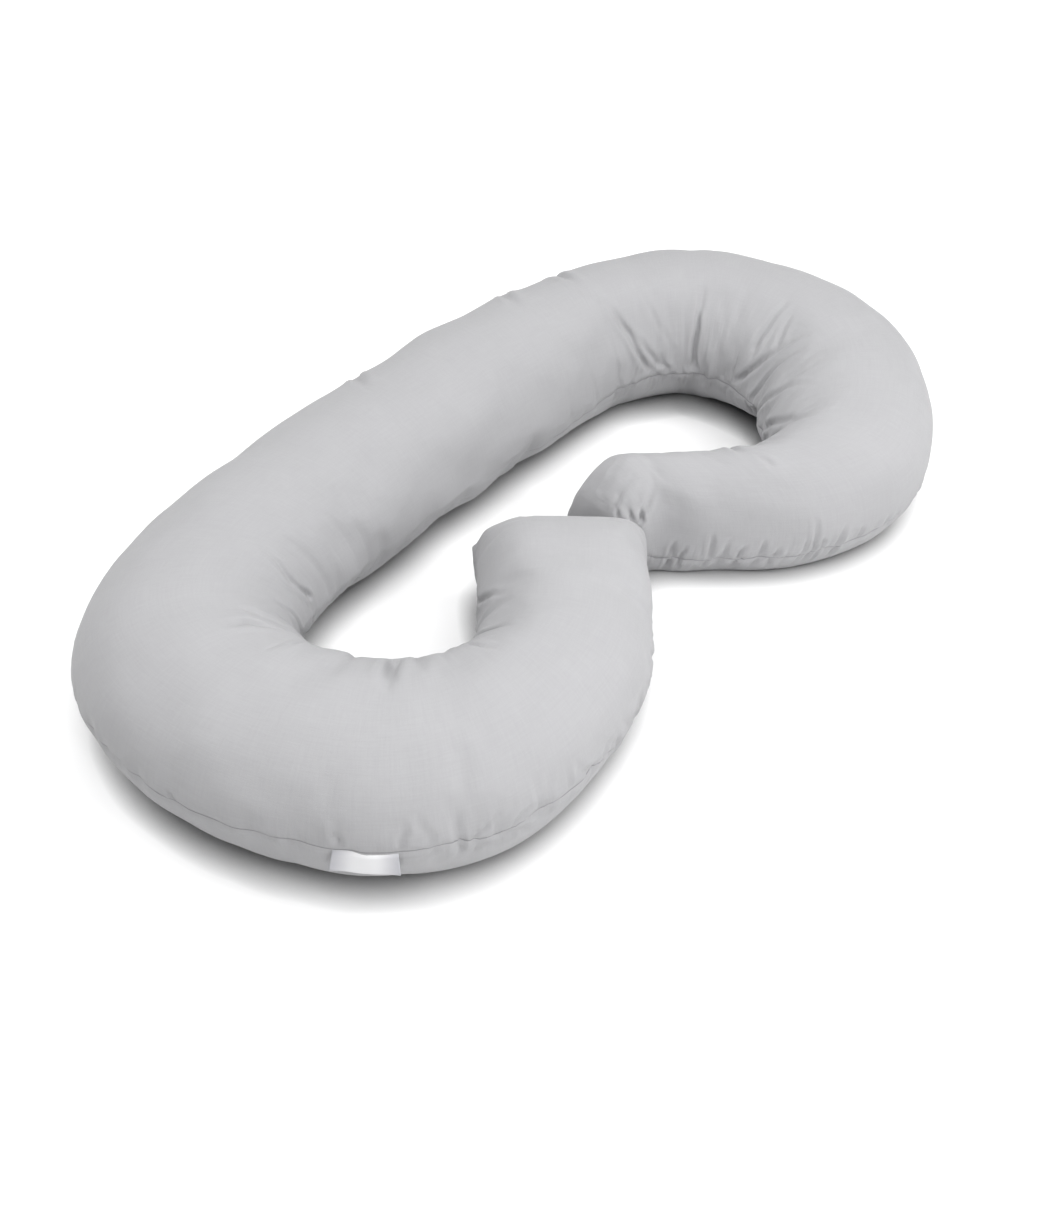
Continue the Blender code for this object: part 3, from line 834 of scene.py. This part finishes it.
bm = bmesh.new()
bm.loops.layers.uv.new("cloth")
bmesh.ops.create_grid(bm, x_segments=TAB_ACROSS, y_segments=TAB_DOWN, size=0.5, calc_uvs=True)
for vert in bm.verts:
    across, down = vert.co.x + 0.5, (vert.co.y + 0.5) * 2      # down: 0 and 2 are in the seam
    fall = 1 - abs(1 - down)
    layer = np.clip((1 - down) * 6, -1, 1)                     # -1 in front, 1 behind
    roll = math.sqrt(max(0.0, 1 - layer ** 2)) * TAB_LOOP / 2 if fall > 5 / 6 else 0.0
    point, way, out, seam_level = tab_line(across)
    rise = 1 - (1 - min(1.0, fall / 0.16)) ** 2
    curl = TAB_CURL * abs(2 * across - 1) ** 3
    wave = 0.0006 * math.sin(2 * math.pi * (across * 1.3 + 0.2)) * fall
    stand = -0.0012 + (np.interp(across, shares, proud) + 0.0022 + TAB_LOOP / 2) * rise
    stand += (TAB_LIFT + curl) * fall ** 2 + wave - layer * TAB_LOOP / 2 * min(1.0, fall * 8)
    place = point + out * stand + way * TAB_FLARE * fall * across
    vert.co = (place[0], place[1], seam_level - (TAB_DROP - TAB_LOOP / 2) * fall - roll)
for vert in bm.verts:
    vert.co.z += TAB_RAISED
bmesh.ops.recalc_face_normals(bm, faces=bm.faces)
mesh = bpy.data.meshes.new("ribbon")
bm.to_mesh(mesh)
bm.free()
mesh.shade_smooth()
ribbon = bpy.data.objects.new("ribbon", mesh)
bpy.context.scene.collection.objects.link(ribbon)
thick = ribbon.modifiers.new("thick", "SOLIDIFY")
thick.thickness = TAB_THICK
thick.offset = 0
tab_width = float(np.linalg.norm(tab_line(1)[0] - tab_line(0)[0])) + TAB_FLARE / 2
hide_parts("tab")
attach(ribbon, "root")

# %% [markdown]
# ## Finishes
#
# A material is a sum worked out at every point of a surface. Written as nodes it soon becomes a
# web, so one small class lets sums be written as sums: it wraps a node's output, and adding or
# multiplying two of them adds the Math node.

# %% A value in a material
class Value:
    """A node's output, which can be used in sums."""

    def __init__(self, tree, socket):
        self.tree, self.socket = tree, socket

    def maths(self, operation, *others, clamp=False):
        settings = {"operation": operation, "use_clamp": clamp}
        return add_node(self.tree, "ShaderNodeMath", settings, dict(enumerate((self, *others))))

    def __add__(self, other):
        return self.maths("ADD", other)

    def __sub__(self, other):
        return self.maths("SUBTRACT", other)

    def __rsub__(self, other):
        return (self * -1) + other

    def __mul__(self, other):
        return self.maths("MULTIPLY", other)

    def __pow__(self, other):
        return self.maths("POWER", other)

    __radd__, __rmul__ = __add__, __mul__

    def fade(self, start, end):
        """0 at start, 1 at end, smooth between them."""
        settings = {"interpolation_type": "SMOOTHSTEP", "clamp": True}
        return add_node(self.tree, "ShaderNodeMapRange", settings,
                        {"Value": self, "From Min": start, "From Max": end})


def add_node(tree, kind, settings=None, inputs=None, output=0):
    """A node of this kind: its settings first, then the values or links of its sockets."""
    node = tree.nodes.new(kind)
    for name, value in (settings or {}).items():
        setattr(node, name, value)
    for name, value in (inputs or {}).items():
        if isinstance(value, Value):
            tree.links.new(value.socket, node.inputs[name])
        else:
            node.inputs[name].default_value = value
    return Value(tree, node.outputs[output])


def new_material(name, constants):
    """A material whose Principled node has these constants on its own sockets."""
    material = bpy.data.materials.new(name)
    material.use_nodes = True
    shader = material.node_tree.nodes["Principled BSDF"]
    for socket, value in constants.items():
        shader.inputs[socket].default_value = value
    return material, material.node_tree, shader


def feed(tree, shader, socket, value):
    tree.links.new(value.socket, shader.inputs[socket])


def stretched(tree, where, across, along, detail=2.0, w=0.0):
    """Noise on the cloth, with this many changes a metre across it and along it."""
    scaled = add_node(tree, "ShaderNodeVectorMath", {"operation": "MULTIPLY"},
                      {0: where, 1: (across, along, 1.0)})
    return add_node(tree, "ShaderNodeTexNoise", {"noise_dimensions": "4D"},
                    {"Vector": scaled, "W": w, "Scale": 1.0, "Detail": detail, "Roughness": 0.55})


# %% [markdown]
# The cover is plain-woven cotton, dyed a light grey. Up close one thread goes over and the next
# under, 22 to the centimetre. Some threads are thicker than others, so faint streaks run both
# ways, and painted shade makes it a little darker in the folds and along the seam. The map on the
# cover counts metres round the tube and along it, so the threads follow the cloth.

# %% Cotton
THREADS = 2200                  # a metre
COTTON = (0.361, 0.360, 0.369, 1)
# the darker grey: for thick threads and streaks, and for the painted shade in folds and along the
# seam
COTTON_DARK_AND_SHADE = (0.293, 0.292, 0.302, 1)
STITCHED = (0.17, 0.17, 0.175, 1)

cotton, tree, shader = new_material("cotton", {
    "Specular IOR Level": 0.25, "Sheen Weight": 0.12, "Sheen Roughness": 0.45, "Roughness": 0.9})
where = add_node(tree, "ShaderNodeUVMap", {"uv_map": "cloth"})
split = tree.nodes.new("ShaderNodeSeparateXYZ")
tree.links.new(where.socket, split.inputs[0])
around_it, along_it = Value(tree, split.outputs[0]), Value(tree, split.outputs[1])
to_seam_here, from_end_here, bent_here = (
    add_node(tree, "ShaderNodeAttribute", {"attribute_name": name}, output=2)
    for name in ("to_seam", "from_end", "bent"))
off = to_seam_here.maths("ABSOLUTE").maths("MINIMUM", from_end_here)

warp = (along_it * (math.pi * THREADS)).maths("SINE")
weft = (around_it * (math.pi * THREADS)).maths("SINE")
weave = warp * weft
slubs = stretched(tree, where, 420, 22, 3.0, 1.0) + stretched(tree, where, 22, 420, 3.0, 2.0)
threads = stretched(tree, where, 2600, 60, 1.0, 3.0) + stretched(tree, where, 60, 2600, 1.0, 4.0)
on_object = add_node(tree, "ShaderNodeTexCoord", output=3)
clouds = add_node(tree, "ShaderNodeTexNoise", None,
                  {"Vector": on_object, "Scale": 7.0, "Detail": 3.0})
stitch_line = 1 - off.fade(0.0002, 0.0011)
near_seam_here = 1 - off.fade(0.002, 0.030)

shade = (slubs - 1) * 0.42 + (threads - 1) * 0.40 + (clouds - 0.5) * 0.30 + weave * 0.06
# painted shade: near_seam_here and bent_here make the cloth darker along the seam and inside the
# bends
shade = shade + stitch_line * 0.85 + near_seam_here * 0.06 + bent_here * 0.05
colour = add_node(tree, "ShaderNodeMix", {"data_type": "RGBA"}, {
    0: (shade + 0.16).maths("ADD", 0.0, clamp=True), 6: COTTON, 7: COTTON_DARK_AND_SHADE}, output=2)
colour = add_node(tree, "ShaderNodeMix", {"data_type": "RGBA"}, {
    0: stitch_line * 0.55, 6: colour, 7: STITCHED}, output=2)
feed(tree, shader, "Base Color", colour)
feed(tree, shader, "Roughness", (slubs - 1) * 0.12 + 0.88)

puckers = stretched(tree, where, 14, 150, 2.0, 5.0)
crumple = stretched(tree, where, 30, 30, 4.0, 6.0)
gathers = (puckers - 0.5) * (near_seam_here * 0.0016 + bent_here * 0.0014)
height = gathers + (crumple - 0.5) * 0.0009 + (slubs - 1) * 0.00016 + weave * 0.00005
height = height - stitch_line * 0.0006
bump = add_node(tree, "ShaderNodeBump", None, {"Height": height, "Strength": 1.0, "Distance": 1.0})
feed(tree, shader, "Normal", bump)
cover.data.materials.append(cotton)

# %% [markdown]
# The tab is satin: long floating threads give it a soft gloss that runs across the light. It curls
# away at both sides, and painted shade makes it darker there than down its middle.

# %% Satin
SATIN = (0.68, 0.68, 0.69, 1)
# the darker colour: for uneven ribs and floats, and for the painted shade at the curled sides
SATIN_DARK_AND_SHADE = (0.38, 0.38, 0.41, 1)

satin, tree, shader = new_material("satin", {
    "Specular IOR Level": 0.5, "Anisotropic": 0.5, "Sheen Weight": 0.1, "Roughness": 0.35})
where = add_node(tree, "ShaderNodeUVMap", {"uv_map": "cloth"})
ribs = stretched(tree, where, 4, 160, 2.0, 1.0)
floats = stretched(tree, where, 60, 420, 1.0, 2.0)
split = tree.nodes.new("ShaderNodeSeparateXYZ")
tree.links.new(where.socket, split.inputs[0])
to_side = (Value(tree, split.outputs[0]) * 2 - 1).maths("ABSOLUTE")     # 1 at both its sides
# painted shade: darker towards both sides of the tab, where it curls away
depth = (ribs - 0.5) * 0.15 + (floats - 0.5) * 0.2 + to_side.fade(0.25, 1.05) * 0.9 + 0.08
colour = add_node(tree, "ShaderNodeMix", {"data_type": "RGBA"}, {
    0: depth.maths("ADD", 0.0, clamp=True), 6: SATIN, 7: SATIN_DARK_AND_SHADE}, output=2)
feed(tree, shader, "Base Color", colour)
feed(tree, shader, "Roughness", (floats - 0.5) * 0.3 + 0.36)
bump = add_node(tree, "ShaderNodeBump", None,
                {"Height": ribs * 0.00008 + floats * 0.00005, "Strength": 1.0, "Distance": 1.0})
feed(tree, shader, "Normal", bump)
ribbon.data.materials.append(satin)

# %% [markdown]
# The floor is a sheet of white paper with a painted shadow: right under the pillow's side it sees
# hardly any sky, so its colour is painted darkest there. It looks for the sky a little to +X
# and -Y, so its painted shadow is wider on the other two sides of the pillow. Further out it
# glows a little, which is painted light, as a sweep is brighter where it turns up behind the
# object, so that it ends in no line.

# %% Floor
bm = bmesh.new()
bmesh.ops.create_grid(bm, x_segments=1, y_segments=1, size=12)
mesh = bpy.data.meshes.new("floor")
bm.to_mesh(mesh)
bm.free()
floor = bpy.data.objects.new("floor", mesh)
bpy.context.scene.collection.objects.link(floor)
PAPER, PAPER_SHADED = (0.90, 0.90, 0.90, 1), (0.10, 0.10, 0.105, 1)
SHADE_REACH, SHADE_POWER = 0.045, 1.00       # metres, and how quickly it darkens
SHADE_LEAN = {0: 0.34, 1: -0.30, 2: 0.89}    # which way the floor looks for the sky
GLOW_FROM, GLOW_FULL = 1.2, 3.6             # metres from the middle of the pillow

paper, tree, shader = new_material("paper", {
    "Roughness": 0.9, "Specular IOR Level": 0.0, "Emission Strength": 1.0})
lean = add_node(tree, "ShaderNodeCombineXYZ", None, SHADE_LEAN)
open_sky = add_node(tree, "ShaderNodeAmbientOcclusion", {"samples": 8},
                    {"Distance": SHADE_REACH, "Normal": lean}, output=1)
# painted shadow: the paper's colour darkens towards PAPER_SHADED where it sees little sky
colour = add_node(tree, "ShaderNodeMix", {"data_type": "RGBA"}, {
    0: open_sky ** SHADE_POWER, 6: PAPER_SHADED, 7: PAPER}, output=2)
feed(tree, shader, "Base Color", colour)
out = add_node(tree, "ShaderNodeVectorMath", {"operation": "LENGTH"},
               {0: add_node(tree, "ShaderNodeTexCoord", output=3)}, output=1)
# painted light: the paper glows more the further it lies from the middle of the pillow
glow = add_node(tree, "ShaderNodeMix", {"data_type": "RGBA"}, {
    0: out.fade(GLOW_FROM, GLOW_FULL), 6: (0, 0, 0, 1), 7: (1, 1, 1, 1)}, output=2)
feed(tree, shader, "Emission Color", glow)
mesh.materials.append(paper)
print("floor: paper, shaded within", SHADE_REACH, "m of the pillow")

# %% [markdown]
# Seven soft boxes stand on a half sphere round the pillow, all the same size and the same distance
# away. Each is given by where it stands, seen from the pillow: degrees round from straight behind
# it, degrees up, and its power. The strongest are over the camera and low at the right.

# %% Light
AWAY, RIGHT = Vector((0.724, 0.690, 0.0)), Vector((0.690, -0.724, 0.0))
LAMP_SIZE, LAMP_AWAY = 1.8, 3.2
Lamp = namedtuple("Lamp", "name turned up power")
LAMPS = [Lamp(*row) for row in (
    ("front", 180, 58, 57),
    ("low right", 120, 30, 49),
    ("right", 90, 58, 37),
    ("left", 270, 58, 13),
    ("low left", 300, 30, 36),
    ("behind", 35, 30, 17),
    ("top", 0, 90, 28),
)]

for lamp in LAMPS:
    turned, up = math.radians(lamp.turned), math.radians(lamp.up)
    light = bpy.data.lights.new(lamp.name, "AREA")
    light.shape, light.size, light.energy = "DISK", LAMP_SIZE, lamp.power
    box = bpy.data.objects.new(lamp.name, light)
    bpy.context.scene.collection.objects.link(box)
    way = (AWAY * math.cos(turned) + RIGHT * math.sin(turned)) * math.cos(up)
    way += Vector((0, 0, math.sin(up)))
    box.location = way * LAMP_AWAY + Vector((0, 0, 0.1))
    box.rotation_euler = way.to_track_quat("Z", "Y").to_euler()
print(len(LAMPS), "lamps,", sum(lamp.power for lamp in LAMPS), "watts")

WORLD, SKY_SEEN = 0.15, 1.0     # the light it gives, and how bright it looks behind the object
world = bpy.data.worlds.new("studio")
bpy.context.scene.world = world
world.use_nodes = True
tree = world.node_tree
lit = tree.nodes["Background"]
lit.inputs["Color"].default_value = (1, 1, 1, 1)
lit.inputs["Strength"].default_value = WORLD
seen = add_node(tree, "ShaderNodeBackground", None, {"Color": (1, 1, 1, 1), "Strength": SKY_SEEN})
both = add_node(tree, "ShaderNodeMixShader", None, {
    0: add_node(tree, "ShaderNodeLightPath"), 1: Value(tree, lit.outputs[0]), 2: seen})
tree.links.new(both.socket, tree.nodes["World Output"].inputs["Surface"])
bpy.context.scene.view_settings.view_transform = "Standard"
